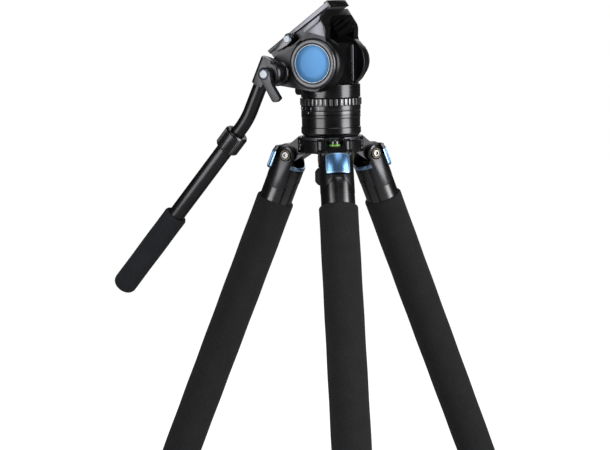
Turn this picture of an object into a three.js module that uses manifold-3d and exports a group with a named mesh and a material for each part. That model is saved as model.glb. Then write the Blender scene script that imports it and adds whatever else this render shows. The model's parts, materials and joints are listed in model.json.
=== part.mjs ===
// Photo and video tripod with a fluid head, in millimetres, +Z up.
// Origin: middle of the bounding box, on the floor that the feet stand on. The front leg points to -Y.
// Inside the model the tripod axis is x = y = 0 and z = 0 is the height of the three leg hinges.
import * as THREE from "three";
import { mergeVertices } from "three/addons/utils/BufferGeometryUtils.js";
import Module from "manifold-3d";

const wasm = await Module();
wasm.setup();

// ---- driving dimensions ----
const GAP = 0.3; // clearance between neighbouring pieces
const LEGS = [["front", -90], ["right", 30], ["left", 150]]; // name, azimuth in degrees
const SPLAY = 23.2; // leg angle from the vertical at rest, degrees
const HINGE_REACH = 43.2; // tripod axis to leg hinge
const LUG_RADIUS = 9.3; // spider lug round the hinge
const LUG_HALF = 10.3; // half width of the lug
const TOOTH_RADIUS = 12.0; // stop teeth round the hinge
const EAR_RADIUS = 8.8; // round top of the yoke's ears
const SLOT_HALF = 10.7; // half width of the yoke's slot
const SLOT_FLOOR = -12.4;
const YOKE_RADIUS = 16.9;
const YOKE_END = -31; // lower edge of the yoke's sleeve
const TUBE_RADII = [16.2, 14.0, 12.0]; // outer radii of the three leg stages
const TUBE_WALL = 1.5;
const STAGE_ENDS = [-505, -548, -600]; // lower ends of the stages, legs closed
const STAGE_TOPS = [-31.3, -62, -66];
const FOAM_RADIUS = 19.3;
const FOAM_TOP = -49.5;
const FOAM_END = -395;
const TAB_HALF = 11.9; // half width of the thumb tab
const TAB_END = -20.4; // lower edge of the thumb tab
const PIN_BORE = 3.3; // hole for a hinge pin or a clamp bolt
const MAIN_BORE = 5.3; // hole for the platform bolt
const LOCKS = [[-500, -542, 20, 0], [-544, -584, 18.5, 1]]; // top, bottom, radius, stage it sits on
const FOOT_TOP = -588;
const FOOT_END = -618;
const FOOT_RADIUS = 14.6;
const DECK_TOP = 19.4; // top of the spider and of the platform plate
const BASE_RADIUS = 29.7; // fixed base of the head
const TILT_HEIGHT = 92.3; // tilt axis above the leg hinges
const HEAD_YAW = -31.25; // direction the head looks in, degrees from +X
const TILT = 34.5; // front of the head raised at rest, degrees
const BLOCK_HALF = 22.4; // half width of the block that carries the tilt axle
const CHEEK_INNER = 24.3;
const CHEEK_OUTER = 38;
const WALL_TOP = 29.7; // top edge of the head's side walls
const CHEEK_RADIUS = 27.5;
const ARM_INNER = 31.2; // rear arms stay outside the pan drum
const ARM_OUTER = 38.5;
const ROSETTE = [-37, 14.5]; // rosette axis in the tilted head, forward and up from the tilt axis
const SLAB_BOTTOM = 33;
const SLAB_TOP = 38.3;
const SLAB_HALF = 24.6;
const PLATE_TOP = 43.3;
const PLATE_HALF = 21.5;
const PLATE_ENDS = [-41.5, 39.5];
const BAR_SIDE = 51.6; // sideways distance of the pan bar from the head's middle plane
const BAR_LEAN = [24.4, 40.6]; // slope of the pan bar above and below its bend, from the vertical
const BAR_BEND = [-66.7, -54.8]; // bend of the pan bar, forward and up from the tilt axis, not tilted
const BAR_UPPER = 57.6; // end of the pan bar above its bend
const BAR_RADII = [7.1, 8.4, 12.2]; // inner bar, outer tube, grip
const BAR_ROD_END = 205; // ends of the inner bar, the outer tube and the grip, below the bend
const BAR_TUBE = [30, 222];
const BAR_GRIP = [128, 231];
const BAR_BEND_REACH = 11; // how far from the bend its curve starts
const CLAMP_FACES = [43.9, 59.6]; // sideways span of the pan bar's clamp
const TILT_BORE = 6.3; // hole for the tilt axle
const LEVEL_REACH = 35; // bubble level, from the tripod axis over the front leg

// ---- colours ----
const finish = (color, roughness, metalness) =>
  new THREE.MeshStandardMaterial({ color, roughness, metalness });
const BLACK = finish(0x17181a, 0.36, 0.85);
const GREY = finish(0x3b3d42, 0.4, 0.8);
const FOAM = finish(0x1d1e20, 0.95, 0);
const GRIP = finish(0x20232a, 0.9, 0);
const BLUE = finish(0x4e87c4, 0.3, 0.8);
const SKY = finish(0x5aa9e6, 0.35, 0.6);
const STEEL = finish(0xb9bbbd, 0.28, 1);
const RUBBER = finish(0x141414, 0.85, 0);
const VIAL = finish(0x86d23a, 0.15, 0);

// ---- helpers ----
const rad = THREE.MathUtils.degToRad;
const group = new THREE.Group();

// A three.js geometry as a solid that can be joined and cut.
function solid(geometry) {
  const bare = geometry.clone();
  bare.deleteAttribute("normal");
  bare.deleteAttribute("uv");
  const merged = mergeVertices(bare, 1e-3);
  const corners = merged.index.array;
  const kept = [];
  for (let i = 0; i < corners.length; i += 3) {
    const [a, b, c] = [corners[i], corners[i + 1], corners[i + 2]];
    if (a !== b && b !== c && c !== a) kept.push(a, b, c);
  }
  const vertProperties = merged.attributes.position.array;
  return new wasm.Manifold(new wasm.Mesh({ numProp: 3, vertProperties, triVerts: new Uint32Array(kept) }));
}

function place(parent, name, body, material) {
  const mesh = body.getMesh();
  const geometry = new THREE.BufferGeometry();
  geometry.setAttribute("position", new THREE.BufferAttribute(mesh.vertProperties, 3));
  geometry.setIndex(new THREE.BufferAttribute(mesh.triVerts, 1));
  geometry.computeVertexNormals();
  const piece = new THREE.Mesh(geometry, material);
  piece.name = name;
  parent.add(piece);
  return piece;
}

// Turned piece about +Z from [radius, z] points, going up its outer side.
function turned(points, sides = 24) {
  const profile = points.map(([r, z]) => new THREE.Vector2(r, z));
  return new THREE.LatheGeometry(profile, sides).rotateX(Math.PI / 2);
}
// Turned disc or pin with flat ends.
const rod = (radius, low, high, sides = 20) =>
  turned([[0, low], [radius, low], [radius, high], [0, high]], sides);
// Turned ring with a square section.
function ring(inner, outer, low, high, sides = 24) {
  return turned([[inner, low], [outer, low], [outer, high], [inner, high], [inner, low]], sides);
}
// Radius of a hole whose flats, not its corners, lie at the radius asked for.
const hole = (radius, sides) => radius / Math.cos(Math.PI / sides);
// Turns a +Z geometry so that it points along +Y, keeping z levels as y levels.
const alongY = (geometry) => geometry.rotateX(-Math.PI / 2);
const block = (x0, x1, y0, y1, z0, z1) =>
  new THREE.BoxGeometry(x1 - x0, y1 - y0, z1 - z0).translate((x0 + x1) / 2, (y0 + y1) / 2, (z0 + z1) / 2);
const outline = (points) => new THREE.Shape(points.map(([x, y]) => new THREE.Vector2(x, y)));
function prism(shape, low, high, curveSegments = 12) {
  const made = new THREE.ExtrudeGeometry(shape, { depth: high - low, bevelEnabled: false, curveSegments });
  return made.translate(0, 0, low);
}
// Prism whose outline lies in the XZ plane, from y0 to y1.
const sidePrism = (shape, y0, y1) => prism(shape, -y1, -y0).rotateX(Math.PI / 2);
// The same prism on the far side or, for side -1, mirrored to the near side.
const pairPrism = (shape, side, y0, y1) => sidePrism(shape, side > 0 ? y0 : -y1, side > 0 ? y1 : -y0);
const arcPoints = (x, y, radius, from, to, steps) =>
  Array.from({ length: steps + 1 }, (_, i) => {
    const angle = rad(from + ((to - from) * i) / steps);
    return [x + radius * Math.cos(angle), y + radius * Math.sin(angle)];
  });

// ---- spider: the casting that the legs and the head join ----
function spiderArm() {
  const lug = arcPoints(HINGE_REACH, 0, LUG_RADIUS, -115, 20, 12);
  const lowTooth = arcPoints(HINGE_REACH, 0, TOOTH_RADIUS - 1.3, 22, 50, 3);
  const highTooth = arcPoints(HINGE_REACH, 0, TOOTH_RADIUS, 52, 76, 3);
  const top = [[HINGE_REACH - 2, 11], [HINGE_REACH - 12.8, DECK_TOP], [16, DECK_TOP]];
  const under = [[16, 2.9], [21, 2.9]];
  const cheek = outline([...under, ...lug, ...lowTooth, ...highTooth, ...top]);
  const bar = solid(sidePrism(cheek, -LUG_HALF, LUG_HALF));
  const root = [[14, -17], [24, -17], [33, -9.5], [33, 9.5], [24, 17], [14, 17]];
  const shoulder = solid(prism(outline(root), 2.9, 18.2));
  const pin = solid(alongY(rod(hole(PIN_BORE, 16), -20, 20, 16)).translate(HINGE_REACH, 0, 0));
  return bar.add(shoulder).subtract(pin);
}

function spider() {
  const boss = [[0, -12.4], [13.5, -12.4], [13.5, 2.9]];
  const hub = [[28, 2.9], [29.5, 4.4], [29.5, 15.7], [0, 15.7]];
  let body = solid(turned([...boss, ...hub], 28));
  for (const [, azimuth] of LEGS) {
    const arm = spiderArm().getMesh();
    const shape = new THREE.BufferGeometry();
    shape.setAttribute("position", new THREE.BufferAttribute(arm.vertProperties, 3));
    shape.setIndex(new THREE.BufferAttribute(arm.triVerts, 1));
    body = body.add(solid(shape.rotateZ(rad(azimuth))));
  }
  const recess = solid(rod(29.2, 15.7, 30, 28));
  const bore = solid(rod(MAIN_BORE, -20, 30, 16));
  const cup = solid(rod(8.4, 5.6, 30, 20).translate(0, -LEVEL_REACH, 0));
  return body.subtract(recess).subtract(bore).subtract(cup);
}

function platform() {
  const disc = solid(turned([[0, 16], [28.6, 16], [28.6, 18.6], [27.8, DECK_TOP], [0, DECK_TOP]], 28));
  place(group, "spider", spider(), BLACK);
  place(group, "platform_plate", disc.subtract(solid(rod(MAIN_BORE, 10, 30, 16))), GREY);
  const bolt = [[4.8, -13], [4.8, 25], [3.8, 26], [0, 26]];
  const knob = [[0, -30], [14, -30], [17, -27], [17, -16], [14.5, -13]];
  place(group, "platform_knob", solid(turned([...knob, ...bolt], 20)), BLACK);
}

function weightHook() {
  const path = new THREE.CurvePath();
  const point = (x, z) => new THREE.Vector3(x, 0, z);
  path.add(new THREE.LineCurve3(point(0, -30.3), point(0, -37)));
  path.add(new THREE.QuadraticBezierCurve3(point(0, -37), point(-11, -40), point(-9, -49)));
  path.add(new THREE.QuadraticBezierCurve3(point(-9, -49), point(0, -61), point(9, -49)));
  const section = new THREE.Shape().absarc(0, 0, 2, 0, 2 * Math.PI);
  const wire = new THREE.ExtrudeGeometry(section, { steps: 16, extrudePath: path, curveSegments: 4 });
  place(group, "weight_hook", solid(wire), STEEL);
}

function bubbleLevel() {
  const cup = solid(turned([[0, 6], [8, 6], [8, 11.2], [7.2, 12], [0, 12]], 20));
  const well = solid(rod(6.1, 9.5, 20, 20));
  place(group, "level_cup", cup.subtract(well), BLACK).position.set(0, -LEVEL_REACH, 0);
  const vial = [[0, 9.8], [5.7, 9.8], [5.7, 15], [5.2, 17], [3.6, 18.6], [0, 19.3]];
  place(group, "level_vial", solid(turned(vial, 20)), VIAL).position.set(0, -LEVEL_REACH, 0);
}

// ---- one leg, in its own frame: hinge at the origin, the leg runs down -Z, +X faces outward ----
function yoke() {
  const side = [...arcPoints(0, 0, EAR_RADIUS, -28, 208, 10), [-YOKE_RADIUS, -14], [-YOKE_RADIUS, -60]];
  const ears = solid(sidePrism(outline([...side, [YOKE_RADIUS, -60], [YOKE_RADIUS, -14]]), -20, 20));
  const sleeve = solid(turned([[0, YOKE_END], [YOKE_RADIUS, YOKE_END], [YOKE_RADIUS, 9], [0, 9]], 20));
  const spigot = solid(rod(TUBE_RADII[0] - TUBE_WALL - 2 * GAP, -50, YOKE_END + 1, 20));
  const slot = solid(block(-20, 20, -SLOT_HALF, SLOT_HALF, SLOT_FLOOR, 12));
  const pocket = solid(block(13.5, 20, -TAB_HALF - 0.5, TAB_HALF + 0.5, TAB_END - 0.4, 12));
  const bolt = solid(alongY(rod(hole(3.4, 12), -20, 20, 12)));
  let body = ears.intersect(sleeve).add(spigot).subtract(slot).subtract(pocket).subtract(bolt);
  for (const turn of [0, Math.PI]) {
    const seat = alongY(rod(hole(6.1, 16), 15, 20, 16)).rotateZ(turn);
    body = body.subtract(solid(seat));
  }
  return body;
}

// Thumb tab in the yoke's outer face; its nose rests against the spider's stop teeth.
function angleTab() {
  const nose = arcPoints(0, 0, 12.6, 0, 20, 3);
  const back = [[15, 4.6], [18.6, 0], [20.2, -6], [20, -13], [18.8, TAB_END]];
  const shape = outline([[13.9, TAB_END], [13.9, -2], ...nose, ...back].reverse());
  return solid(sidePrism(shape, -TAB_HALF, TAB_HALF)).intersect(solid(rod(20.4, -30, 10, 28)));
}

function hingePin() {
  const half = [[6, 15.3], [6, 16.9], [5.2, 17.5], [0, 17.5]];
  const points = [[0, -17.5], [5.2, -17.5], [6, -16.9], [6, -15.3], [3.1, -15.3], [3.1, 15.3], ...half];
  return solid(alongY(turned(points, 12)));
}

function twistLock([top, bottom, radius, stage]) {
  const [outer, inner] = [TUBE_RADII[stage], TUBE_RADII[stage + 1]];
  const throat = STAGE_ENDS[stage] - GAP;
  const low = hole(inner + GAP, 16);
  const high = hole(outer + GAP, 16);
  const rim = [[radius - 2.5, bottom], [radius, bottom + 4], [radius, top - 3], [radius - 1.5, top]];
  const inside = [[high, top], [high, throat], [low, throat], [low, bottom]];
  return solid(turned([[low, bottom], ...rim, ...inside], 16));
}

// Rubber foot, cut level where it stands on the floor at the rest splay.
function foot() {
  const ball = arcPoints(0, FOOT_END + FOOT_RADIUS, FOOT_RADIUS, -90, 0, 5);
  const body = solid(turned([...ball, [FOOT_RADIUS, FOOT_TOP - 4], [13.4, FOOT_TOP], [0, FOOT_TOP]], 16));
  const socket = solid(rod(hole(TUBE_RADII[2] + GAP, 20), STAGE_ENDS[2] - GAP, 0, 20));
  const floor = block(-60, 60, -60, 60, -100, 0).rotateY(rad(SPLAY));
  const centre = FOOT_END + FOOT_RADIUS;
  const cut = FOOT_RADIUS - 1.6;
  floor.translate(-cut * Math.sin(rad(SPLAY)), 0, centre - cut * Math.cos(rad(SPLAY)));
  return body.subtract(socket).subtract(solid(floor));
}

function leg(name, azimuth) {
  const frame = new THREE.Group();
  frame.position.set(HINGE_REACH * Math.cos(rad(azimuth)), HINGE_REACH * Math.sin(rad(azimuth)), 0);
  frame.rotation.z = rad(azimuth);
  const own = new THREE.Group();
  own.rotation.y = -rad(SPLAY);
  frame.add(own);
  group.add(frame);
  place(own, `${name}_yoke`, yoke(), BLACK);
  place(own, `${name}_hinge_pin`, hingePin(), STEEL);
  place(own, `${name}_angle_tab`, angleTab(), BLUE);
  const stages = ["tube_upper", "tube_middle", "tube_lower"];
  stages.forEach((stage, i) => {
    const tube = ring(TUBE_RADII[i] - TUBE_WALL, TUBE_RADII[i], STAGE_ENDS[i], STAGE_TOPS[i], 16);
    place(own, `${name}_${stage}`, solid(tube), BLACK);
  });
  const foam = ring(hole(TUBE_RADII[0] + 0.2, 20), FOAM_RADIUS, FOAM_END, FOAM_TOP, 20);
  place(own, `${name}_foam`, solid(foam), FOAM);
  place(own, `${name}_lock_upper`, twistLock(LOCKS[0]), BLACK);
  place(own, `${name}_lock_lower`, twistLock(LOCKS[1]), BLACK);
  place(own, `${name}_foot`, foot(), RUBBER);
}

// ---- head: +X of its frame looks forward, the tilt axis runs along Y at the frame's height ----
const pan = new THREE.Group();
pan.rotation.z = rad(HEAD_YAW);
group.add(pan);
const tilt = new THREE.Group();
tilt.position.z = TILT_HEIGHT;
tilt.rotation.y = -rad(TILT);
pan.add(tilt);

function headBase() {
  const low = [[0, 19.7], [27.5, 19.7], [29.8, 22.9], [29.8, 28.3], [29.2, 28.9]];
  const high = [[29.2, 38], [BASE_RADIUS, 38.5], [BASE_RADIUS, 45], [0, 45]];
  const body = solid(turned([...low, ...high], 28));
  const axleBore = solid(rod(hole(8.3, 20), 28.6, 60, 20));
  place(group, "head_base", body.subtract(axleBore).subtract(solid(rod(MAIN_BORE, 0, 26.3, 16))), BLACK);
}

function panParts() {
  const band = [[29.8, 45.3], [29.8, 50.2], [30.6, 50.6], [30.6, 57.1], [30.2, 57.5]];
  const dial = turned([[8.6, 45.3], ...band, [8.6, 57.5], [8.6, 45.3]], 28);
  place(group, "pan_drag_ring", solid(dial), BLACK);
  place(group, "pan_axle", solid(rod(7.9, 28.9, 65.7, 20)), STEEL);
  place(pan, "pan_body", panBody(), BLACK);
  const shaft = [[0, 29.9], [2.6, 29.9], [2.6, 31], [5, 31], [5, 37.8], [4.2, 38.6], [0, 38.6]];
  const knob = turned(shaft, 16).rotateY(-Math.PI / 2).translate(0, 0, 64.2);
  place(pan, "pan_lock_knob", solid(knob), BLACK);
}

function panBody() {
  const drum = solid(rod(29.6, 57.8, 71.6, 28));
  const dome = arcPoints(0, TILT_HEIGHT, 15, 0, 180, 10);
  const tower = solid(sidePrism(outline([[-15, 62], [15, 62], ...dome]), -BLOCK_HALF, BLOCK_HALF));
  const saddle = (side) => {
    const cut = alongY(rod(hole(CHEEK_RADIUS + 0.5, 24), CHEEK_INNER - 0.6, 40, 24));
    return solid((side > 0 ? cut : cut.rotateZ(Math.PI)).translate(0, 0, TILT_HEIGHT));
  };
  const axleBore = solid(rod(hole(8.2, 20), 50, 66, 20));
  const tiltBore = solid(alongY(rod(hole(TILT_BORE, 20), -30, 30, 20)).translate(0, 0, TILT_HEIGHT));
  return drum.add(tower).subtract(saddle(1)).subtract(saddle(-1)).subtract(axleBore).subtract(tiltBore);
}

// Drum-shaped cheek on one side of the head, with a bevelled rim.
function cheek(side, radius, reach) {
  const rim = [[radius, reach - 3], [radius - 3, reach], [0, reach]];
  const drum = alongY(turned([[0, CHEEK_INNER], [radius, CHEEK_INNER], ...rim], 28));
  return solid(side > 0 ? drum : drum.rotateX(Math.PI));
}

// Moving cradle of the head: cheeks on the tilt axle, side walls, top slab, front lip and rear arms.
function tiltFrame() {
  const front = [[24.5, 13], [28.5, 15], [31, 18], [32.5, 22], [32.5, 27], [31.5, WALL_TOP]];
  const wall = outline([[10, 18], ...front, [8, WALL_TOP - 0.5], [-2, 22]]);
  const strut = outline([[10, 18], [18, SLAB_TOP], [-38.5, SLAB_TOP], [-38.5, SLAB_BOTTOM], [-22, 12]]);
  const arm = outline([
    ...arcPoints(ROSETTE[0], ROSETTE[1], 13, 100, 245, 10),
    ...arcPoints(0, 0, CHEEK_RADIUS - 0.5, 225, 245, 2),
    [10, -20], [16, 16], [-14, 33], [-32, 33],
  ]);
  let body = solid(block(-38.5, 36.5, -30, 30, SLAB_BOTTOM, SLAB_TOP));
  body = body.add(cheek(-1, CHEEK_RADIUS, CHEEK_OUTER)).add(cheek(1, 26.2, CHEEK_OUTER));
  for (const side of [-1, 1]) {
    body = body.add(solid(pairPrism(strut, side, CHEEK_INNER, 30)));
    body = body.add(solid(pairPrism(arm, side, ARM_INNER, ARM_OUTER)));
  }
  for (const side of [-1, 1]) {
    const shave = block(-60, 60, SLAB_HALF, 60, WALL_TOP, 60);
    body = body.subtract(solid(side > 0 ? shave : shave.rotateZ(Math.PI)));
    body = body.add(solid(pairPrism(wall, side, 29.5, CHEEK_OUTER)));
  }
  const lipTop = solid(block(29.5, 36.5, -SLAB_HALF, SLAB_HALF, 31, SLAB_TOP));
  const lipLow = solid(block(29.5, 32.5, -CHEEK_OUTER, CHEEK_OUTER, 26, WALL_TOP));
  const mouth = solid(block(0, 60, -25, 25, 0, 31));
  body = body.add(wasm.Manifold.hull([lipTop, lipLow]).subtract(mouth));
  const seat = solid(alongY(rod(hole(25.2, 24), -60, -36, 24)));
  const axle = solid(alongY(rod(hole(TILT_BORE, 20), -34, 34, 20)));
  const bolts = alongY(rod(hole(3.2, 16), -60, 60, 16)).translate(ROSETTE[0], 0, ROSETTE[1]);
  const stud = solid(rod(hole(3.4, 16), 25, 60, 16).translate(-8, 0, 0));
  const button = solid(alongY(rod(hole(2.9, 14), 18, 40, 14)).translate(18, 0, 35.6));
  return body.subtract(seat).subtract(axle).subtract(solid(bolts)).subtract(stud).subtract(button);
}

function sideTrim() {
  const band = alongY(ring(hole(19, 24), 24.8, -41.2, -36.3, 24));
  place(tilt, "side_ring", solid(band), GREY);
  const disc = turned([[0, 36.3], [18.7, 36.3], [18.7, 39.7], [18.2, 40.2], [0, 40.2]], 24);
  place(tilt, "side_disc", solid(alongY(disc).rotateX(Math.PI)), SKY);
  place(tilt, "tilt_axle", solid(alongY(rod(6, -33.7, 33.7, 20))), STEEL);
  const knob = [[0, 38.8], [20, 38.8], [21, 39.8], [21, 49], [19.5, 50.5], [0, 50.5]];
  place(tilt, "tilt_drag_knob", solid(alongY(turned(knob, 24))), BLACK);
}

function cameraPlate() {
  const [rear, front] = PLATE_ENDS;
  const low = SLAB_TOP + GAP;
  const farEdge = [[18.5, low], [PLATE_HALF, 40.4], [PLATE_HALF, PLATE_TOP]];
  const shape = outline([[-18.5, low], ...farEdge, [-PLATE_HALF, PLATE_TOP], [-PLATE_HALF, 40.4]]);
  const bar = prism(shape, rear, front).rotateX(Math.PI / 2).rotateZ(Math.PI / 2);
  const slot = solid(block(-15, -1, -5.2, 5.2, 30, 50)).add(solid(block(-17, 1, -9.3, 9.3, 30, 40.8)));
  const pads = [[3, 36], [-37, -19]];
  let plate = solid(bar).subtract(slot);
  for (const [x0, x1] of pads) plate = plate.subtract(solid(block(x0, x1, -19, 19, 42.2, 50)));
  plate = plate.add(solid(rod(2.3, 43, 46.6, 12).translate(-39.1, 15, 0)));
  place(tilt, "camera_plate", plate, GREY);
  place(tilt, "plate_pad_front", solid(block(3.3, 35.7, -18.7, 18.7, 42.5, 43.7)), RUBBER);
  place(tilt, "plate_pad_rear", solid(block(-36.7, -19.3, -18.7, 18.7, 42.5, 43.7)), RUBBER);
  const stud = [[3.1, 40.5], [3.1, 48.2], [2.5, 48.8], [0, 48.8]];
  const screw = turned([[0, 38.7], [8, 38.7], [8, 40.4], ...stud], 20);
  place(tilt, "camera_screw", solid(screw.translate(-8, 0, 0)), STEEL);
}

function plateClamp() {
  const hub = alongY(turned([[0, 25], [6, 25], [6, 32.4], [4.6, 33.8], [0, 33.8]], 20)).rotateX(Math.PI);
  const blade = outline([[-3.6, 3.4], [4, 3.6], [4.2, -3.6], [-3, -4.9], [-17.2, -3.6], [-18, -0.4]]);
  const lever = solid(hub).add(solid(sidePrism(blade, -36.8, -31.5)));
  const at = [-10.5, 0, 36.2];
  place(tilt, "plate_lever", lever, BLACK).position.set(...at);
  place(tilt, "safety_button", solid(alongY(rod(2.6, 20.8, 27.4, 14))), BLACK).position.set(18, 0, 35.6);
}

function rosettes() {
  const [x, z] = ROSETTE;
  const face = [[3.6, 38.8], [13.2, 38.8], [13.2, 42.3], [12, 43.6], [3.6, 43.6], [3.6, 38.8]];
  place(tilt, "rosette_near", solid(alongY(turned(face, 20)).rotateX(Math.PI).translate(x, 0, z)), BLACK);
  const cap = turned([[0, 31.6], [2.9, 31.6], [2.9, 43.5], [8, 43.5], [8, 46.5], [6.8, 47.6], [0, 47.6]], 20);
  const far = solid(alongY(turned([[0, 38.8], [13.2, 38.8], [13.2, 42.4], [12, 43.8], [0, 43.8]], 20)));
  place(tilt, "rosette_far", far.add(solid(alongY(cap))), BLACK).position.set(x, 0, z);
}

// ---- pan bar, in the tilted head's frame but drawn upright: positions are turned into it ----
const upright = new THREE.Group();
upright.rotation.y = rad(TILT);
tilt.add(upright);
const alongBar = (lean) => [-Math.sin(rad(lean)), -Math.cos(rad(lean))];
// Point on the upper bar, at a distance below its end.
function upperBar(distance) {
  const [dx, dz] = alongBar(BAR_LEAN[0]);
  const run = distance - BAR_UPPER;
  return [BAR_BEND[0] + run * dx, BAR_BEND[1] + run * dz];
}

// Turned piece along the lower bar; distances run down from the bend.
function onBar(points, sides) {
  const [x, z] = BAR_BEND;
  const geometry = turned(points.map(([r, d]) => [r, -d]).reverse(), sides);
  return solid(geometry.rotateY(rad(BAR_LEAN[1])).translate(x, -BAR_SIDE, z));
}

function clampCentre() {
  const [x, z] = ROSETTE;
  const angle = rad(TILT);
  return [x * Math.cos(angle) - z * Math.sin(angle), x * Math.sin(angle) + z * Math.cos(angle)];
}

function barClamp() {
  const [cx, cz] = clampCentre();
  const [inner, outer] = CLAMP_FACES;
  const face = [[0, inner], [12.6, inner], [12.6, outer - 2.6], [10.2, outer], [0, outer]];
  const disc = solid(alongY(turned(face, 20)).rotateX(Math.PI).translate(cx, 0, cz));
  const [bx, bz] = upperBar(0);
  const lean = rad(BAR_LEAN[0]);
  const socket = solid(rod(9.4, -20, 8, 20).rotateY(lean).translate(bx, -BAR_SIDE, bz));
  const bore = rod(hole(BAR_RADII[0] + GAP, 20), -60, -9, 20).rotateY(lean).translate(bx, -BAR_SIDE, bz);
  const side = solid(block(-100, 100, -outer, -inner, -100, 100));
  const bolt = solid(alongY(rod(hole(PIN_BORE, 16), -80, 0, 16)).translate(cx, 0, cz));
  const body = disc.add(socket.intersect(side)).subtract(solid(bore)).subtract(bolt);
  place(upright, "bar_clamp", body, BLACK);
}

function clampLever() {
  const [cx, cz] = clampCentre();
  const shaft = [[0, 31.5], [2.9, 31.5], [2.9, 59.9], [6.6, 59.9], [6.6, 68], [5.4, 69.4], [0, 69.4]];
  const hub = solid(alongY(turned(shaft, 20)).rotateX(Math.PI));
  const tip = [[17.2, -23.6], [12.4, -27.4], [9, -26.6]];
  const blade = outline([[-6.2, 2], [6, 2.6], [8.4, -10], ...tip, [-2.4, -7]]);
  const arm = solid(sidePrism(blade, -69, -62.2));
  place(upright, "bar_clamp_lever", hub.add(arm), BLACK).position.set(cx, 0, cz);
}

function barParts() {
  const [bx, bz] = BAR_BEND;
  const [lx, lz] = alongBar(BAR_LEAN[1]);
  const point = (x, z) => new THREE.Vector3(x, -BAR_SIDE, z);
  const path = new THREE.CurvePath();
  const start = point(...upperBar(9.4));
  const inBend = point(...upperBar(BAR_UPPER - BAR_BEND_REACH));
  const outBend = point(bx + BAR_BEND_REACH * lx, bz + BAR_BEND_REACH * lz);
  path.add(new THREE.LineCurve3(start, inBend));
  path.add(new THREE.QuadraticBezierCurve3(inBend, point(bx, bz), outBend));
  path.add(new THREE.LineCurve3(outBend, point(bx + BAR_ROD_END * lx, bz + BAR_ROD_END * lz)));
  const section = new THREE.Shape().absarc(0, 0, BAR_RADII[0], 0, 2 * Math.PI);
  const rodShape = new THREE.ExtrudeGeometry(section, { steps: 18, extrudePath: path, curveSegments: 5 });
  place(upright, "pan_bar_inner", solid(rodShape), BLACK);
  const bore = hole(BAR_RADII[0] + GAP, 20);
  const [top, end] = BAR_TUBE;
  const tube = [[bore, top], [BAR_RADII[1], top], [BAR_RADII[1], end], [bore, end], [bore, top]];
  place(upright, "pan_bar_outer", onBar(tube, 20), BLACK);
  const throat = hole(BAR_RADII[1] + GAP, 20);
  const rim = [[11, 17], [12.4, 18.8], [12.4, 36.4], [11, 38]];
  const seat = top - GAP;
  const collar = [[bore, 17], ...rim, [throat, 38], [throat, seat], [bore, seat], [bore, 17]];
  place(upright, "bar_collar", onBar(collar, 20), BLACK);
}

function barGrip() {
  const bore = hole(BAR_RADII[1] + GAP, 20);
  const [start, end] = BAR_GRIP;
  const outer = BAR_RADII[2];
  const round = 8;
  const dome = arcPoints(end - round, 0, round, 0, 90, 4).map(([d, r]) => [r + outer - round, d]);
  const sleeve = [[bore, start], [outer - 0.8, start], [outer, start + 1.5], ...dome.reverse()];
  const floor = BAR_TUBE[1] + GAP;
  const body = [...sleeve, [0, end], [0, floor], [bore, floor], [bore, start]];
  place(upright, "bar_grip", onBar(body, 20), GRIP);
}

// ---- assembly ----
platform();
weightHook();
bubbleLevel();
for (const [name, azimuth] of LEGS) leg(name, azimuth);
headBase();
panParts();
place(tilt, "tilt_frame", tiltFrame(), BLACK);
sideTrim();
cameraPlate();
plateClamp();
rosettes();
barClamp();
clampLever();
barParts();
barGrip();

// The whole model moves so that the middle of its box is at x = y = 0 and its feet are at z = 0.
const model = new THREE.Group();
model.add(group);
model.updateMatrixWorld(true);
const bounds = new THREE.Box3().setFromObject(model, true);
const centre = bounds.getCenter(new THREE.Vector3());
group.position.set(-centre.x, -centre.y, -bounds.min.z);

export default model;
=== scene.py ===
"""Looks of a tripod with a fluid head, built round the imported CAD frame.

Local shapes are in millimetres.
"""
import json
import math

import bmesh
import bpy
from mathutils import Matrix, Vector


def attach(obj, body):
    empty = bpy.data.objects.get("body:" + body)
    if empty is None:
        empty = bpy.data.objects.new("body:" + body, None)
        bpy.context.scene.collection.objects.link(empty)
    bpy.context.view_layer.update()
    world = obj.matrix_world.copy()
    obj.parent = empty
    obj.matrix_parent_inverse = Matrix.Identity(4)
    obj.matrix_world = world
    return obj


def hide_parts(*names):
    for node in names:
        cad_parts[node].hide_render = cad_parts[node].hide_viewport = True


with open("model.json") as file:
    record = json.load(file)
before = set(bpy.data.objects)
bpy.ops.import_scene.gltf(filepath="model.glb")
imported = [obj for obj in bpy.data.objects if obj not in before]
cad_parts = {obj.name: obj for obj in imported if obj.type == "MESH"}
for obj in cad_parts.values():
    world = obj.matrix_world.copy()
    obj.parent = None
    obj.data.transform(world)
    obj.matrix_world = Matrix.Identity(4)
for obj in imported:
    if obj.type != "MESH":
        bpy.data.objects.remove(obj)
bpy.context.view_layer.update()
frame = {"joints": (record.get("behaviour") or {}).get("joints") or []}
JOINTS = {j["name"]: j for j in frame["joints"]}
MM = 0.001
MERGE = 2e-3  # corners closer than this are one corner
LEGS = ("front", "right", "left")

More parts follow.
